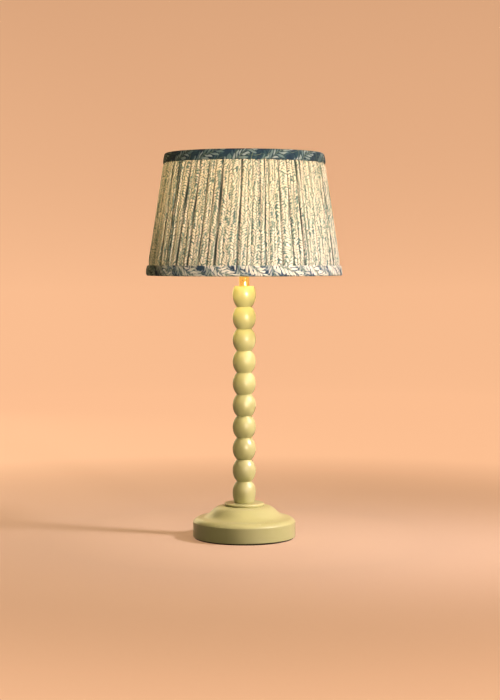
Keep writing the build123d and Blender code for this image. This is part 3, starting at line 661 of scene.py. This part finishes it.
def stem_glass():
    s = Shader("stem_glass")
    place = s.object_place()
    s.set(Base_Color=(0.9, 0.95, 0.95, 1))
    s.set(Roughness=s.span(s.noise(place, 120.0), 0.3, 0.7, 0.02, 0.08))
    s.set(Transmission_Weight=0.9, IOR=1.5)
    return s.material


def led_filament():
    s = Shader("led_filament")
    place = s.object_place()
    grain = s.noise(place, 900.0, 2.0)
    grains = s.span(grain, 0.3, 0.7, 0.0, 1.0)
    s.set(Base_Color=s.mix(grains, (0.9, 0.62, 0.12, 1), (0.95, 0.72, 0.2, 1)))
    s.set(Roughness=0.5, Emission_Color=GLOW, Emission_Strength=6.0, Normal=s.bump(grain, 0.0001, 0.5))
    return s.material


def make_materials():
    """One material for each of the record's material slots."""
    upright = (1.0, 1.0, 0.12)
    return {
        "painted_wood": painted_wood(),
        "felt": felt(),
        "cast_iron": cast_iron(),
        "zinc_steel": metal("zinc_steel", (0.62, 0.63, 0.62, 1), (0.42, 0.42, 0.40, 1), 0.3, 500.0),
        "rubber": moulded("rubber", (0.018, 0.018, 0.018, 1), 0.7),
        "clamp_plastic": moulded("clamp_plastic", (0.03, 0.03, 0.03, 1), 0.5),
        "polished_brass": metal(
            "polished_brass", (0.95, 0.72, 0.34, 1), (0.80, 0.56, 0.22, 1), 0.2, 900.0, upright
        ),
        "contact_brass": metal("contact_brass", (0.74, 0.55, 0.26, 1), (0.5, 0.33, 0.14, 1), 0.3, 500.0),
        "moulded_insert": moulded("moulded_insert", (0.03, 0.022, 0.018, 1), 0.35, 0.2),
        "switch_plastic": moulded("switch_plastic", (0.02, 0.018, 0.016, 1), 0.22, 0.4, 500.0, 0.00002),
        "cover_print": cover_print(),
        "binding_print": binding_print("binding_print", BOTTOM_BINDING_LIT_TONES),
        "lining_cloth": lining_cloth(),
        "frame_wire": moulded("frame_wire", (0.78, 0.76, 0.70, 1), 0.4, 0.1, 1200.0, 0.00006),
        "opal_glass": opal_glass(),
        "stem_glass": stem_glass(),
        "led_filament": led_filament(),
        "bulb_cap_metal": metal("bulb_cap_metal", (0.78, 0.78, 0.77, 1), (0.55, 0.55, 0.53, 1), 0.25, 500.0),
        "black_glass": moulded("black_glass", (0.012, 0.012, 0.013, 1), 0.12, 0.5, 400.0, 0.00002),
        "solder": metal("solder", (0.62, 0.62, 0.61, 1), (0.4, 0.4, 0.39, 1), 0.35, 700.0),
    }


# ---- Stage: floor, backdrop and lights -------------------------------------------------------

FLOOR_RADIUS = 2.3
BEND_RADIUS = 0.8
STAGE_TOP = 4.5
STAGE_COLUMNS = 96
STAGE_GAP = 0.0002
BEND_ROWS = 12
STAGE_COLOUR = (0.34, 0.27, 0.22, 1)
STAGE_GLOW = (1.0, 0.56, 0.33, 1)
NEAR_GLOW, FAR_GLOW, HIGH_GLOW = 0.32, 0.74, 0.34


def make_stage():
    """Plain floor that bends up into a round backdrop and closes above.

    It glows a little, more away from the lamp, so that it is even all round. Its back is clear, so
    that the underside can be seen, and it sends no light to the lamp.
    """
    bend = [math.radians(90 * k / BEND_ROWS) for k in range(BEND_ROWS + 1)]
    outline = [(0.001, 0), (0.3, 0), (0.6, 0), (1.4, 0)]
    outline += [
        (FLOOR_RADIUS + BEND_RADIUS * math.sin(a), BEND_RADIUS * (1 - math.cos(a))) for a in bend
    ]
    outline += [(FLOOR_RADIUS + BEND_RADIUS, STAGE_TOP), (0.001, STAGE_TOP)]
    angles = np.linspace(2 * math.pi, 0, STAGE_COLUMNS, endpoint=False)
    outline = [(r, z - STAGE_GAP) for r, z in outline]
    rows = [
        np.stack([r * np.cos(angles), r * np.sin(angles), np.full_like(angles, z)], -1)
        for r, z in outline
    ]
    stage = grid_mesh("stage", np.array(rows), True)
    s = Shader("stage")
    away = s.add("VectorMath", {0: s.object_place()}, operation="LENGTH").outputs["Value"]
    outward = s.span(away, 0.25, 0.9, NEAR_GLOW, FAR_GLOW)
    upward = s.span(away, 2.9, 3.9, FAR_GLOW, HIGH_GLOW)
    s.set(Base_Color=STAGE_COLOUR, Roughness=0.85, Emission_Color=STAGE_GLOW)
    s.set(Emission_Strength=s.math("MINIMUM", outward, upward))
    s.set(Alpha=s.math("SUBTRACT", 1.0, s.add("NewGeometry", {}).outputs["Backfacing"]))
    stage.data.materials.append(s.material)
    stage.visible_diffuse = False
    stage.visible_shadow = False


# Name, place, target, size, power in watts, colour and spread in degrees
AREA_LIGHTS = (
    ("key", (1.68, -0.56, 1.45), (0, 0, -0.09), 0.4, 1.38, (1.0, 0.81, 0.78), 24),
    ("front", (0.60, -1.45, 0.45), (0, 0, 0.33), 0.16, 0.64, (1.0, 0.80, 0.64), 28),
    ("fill", (-1.65, -1.3, 0.45), (0, 0, 0.22), 1.4, 0.13, (0.82, 1.0, 0.34), 180),
    ("back", (-0.9, 1.7, 0.65), (0, 0, 0.25), 1.2, 1.15, (0.98, 0.90, 0.52), 90),
    ("under_shade", (0, 0, SHADE_LOW + 0.004), (0, 0, 0), 0.2, 0.08, (1.0, 0.82, 0.12), 180),
)
BULB_POWER = 1.5
WORLD_COLOUR = (0.86, 1.0, 0.62, 1)
WORLD_STRENGTH = 0.06


def area_light(name, place, target, size, power, colour, spread_deg):
    data = bpy.data.lights.new(name, "AREA")
    data.shape = "DISK"
    data.size = size
    data.energy = power
    data.color = colour
    data.spread = math.radians(spread_deg)
    light = bpy.data.objects.new(name, data)
    light.location = place
    light.rotation_euler = (Vector(target) - Vector(place)).to_track_quat("-Z", "Y").to_euler()
    light.visible_camera = False
    bpy.context.scene.collection.objects.link(light)


def make_lights():
    """Narrow key and front lights, soft fill and back lights, and the lamp's own light."""
    for light in AREA_LIGHTS:
        area_light(*light)
    bulb = bpy.data.lights.new("bulb_light", "POINT")
    bulb.energy = BULB_POWER
    bulb.color = GLOW[:3]
    bulb.shadow_soft_size = BULB_RADIUS * 0.9
    light = bpy.data.objects.new("bulb_light", bulb)
    light.location = BULB_CENTRE
    bpy.context.scene.collection.objects.link(light)
    light.parent = frame["bodies"]["bulb"]


def make_world():
    world = bpy.data.worlds.new("world")
    world.use_nodes = True
    background = world.node_tree.nodes["Background"]
    background.inputs["Color"].default_value = WORLD_COLOUR
    background.inputs["Strength"].default_value = WORLD_STRENGTH
    bpy.context.scene.world = world
    bpy.context.scene.view_settings.view_transform = "Standard"
    bpy.context.scene.view_settings.look = "Medium High Contrast"


# ---- Put together ----------------------------------------------------------------------------


def dress_frame(materials):
    """Each CAD node gets the material of its slot."""
    for row in frame["record"]["subparts"]:
        data = frame["nodes"][row["node"]].data
        data.materials.clear()
        data.materials.append(materials[row["material_slot"]])


def place_cloth(piece, node, material):
    """A cloth piece stands for its CAD node and rides with the shade."""
    piece.data.materials.append(material)
    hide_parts(node)
    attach(piece, "shade")


make_camera()
materials = make_materials()
dress_frame(materials)

cover, cover_flat = make_cover()
place_cloth(cover, "shade_cover", materials["cover_print"])
bottom_tape, bottom_flat = make_tape("bottom_tape", SHADE_LOW, 1, BOTTOM_TAPE_SEED)
place_cloth(bottom_tape, "bottom_binding", materials["binding_print"])
top_tape, top_flat = make_tape("top_tape", SHADE_HIGH, -1, TOP_TAPE_SEED)
# The top strip's darker tones are painted shade
top_shaded_print = binding_print("binding_print_top_shaded", TOP_BINDING_SHADED_TONES)
place_cloth(top_tape, "top_binding", top_shaded_print)
lining, lining_flat = make_lining()
place_cloth(lining, "shade_lining", materials["lining_cloth"])

# Light from inside the bulb has to reach the cloth
lining.visible_shadow = False
for name in ("bulb_glass", "bulb_stem", "led_filaments"):
    frame["nodes"][name].visible_shadow = False

make_stage()
make_lights()
make_world()
